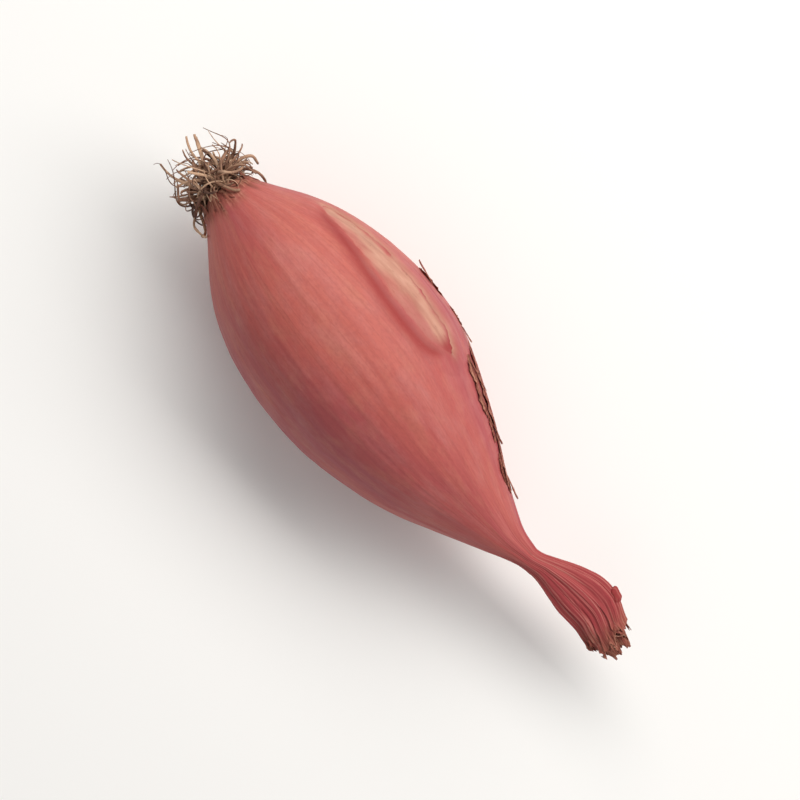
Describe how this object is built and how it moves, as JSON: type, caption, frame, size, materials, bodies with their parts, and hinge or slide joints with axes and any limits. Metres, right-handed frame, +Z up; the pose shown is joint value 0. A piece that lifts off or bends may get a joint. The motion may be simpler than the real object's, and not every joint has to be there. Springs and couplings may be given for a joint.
{
  "type": "pink shallot",
  "caption": "Whole long pink shallot in its dry papery skin, with a twisted dry neck and a tuft of dead roots, lying on its side.",
  "frame": {"origin": "middle of the small flat spot that the bulb rests on", "axes": "+X along the bulb from the roots to the neck, +Z up"},
  "size_m": [0.1135, 0.0367, 0.0323],
  "materials": {
    "papery_skin": "satin",
    "dead_root": "matte"
  },
  "bodies": {
    "root": {"bulb": "papery_skin", "root_tuft": "dead_root"}
  },
  "joints": []
}
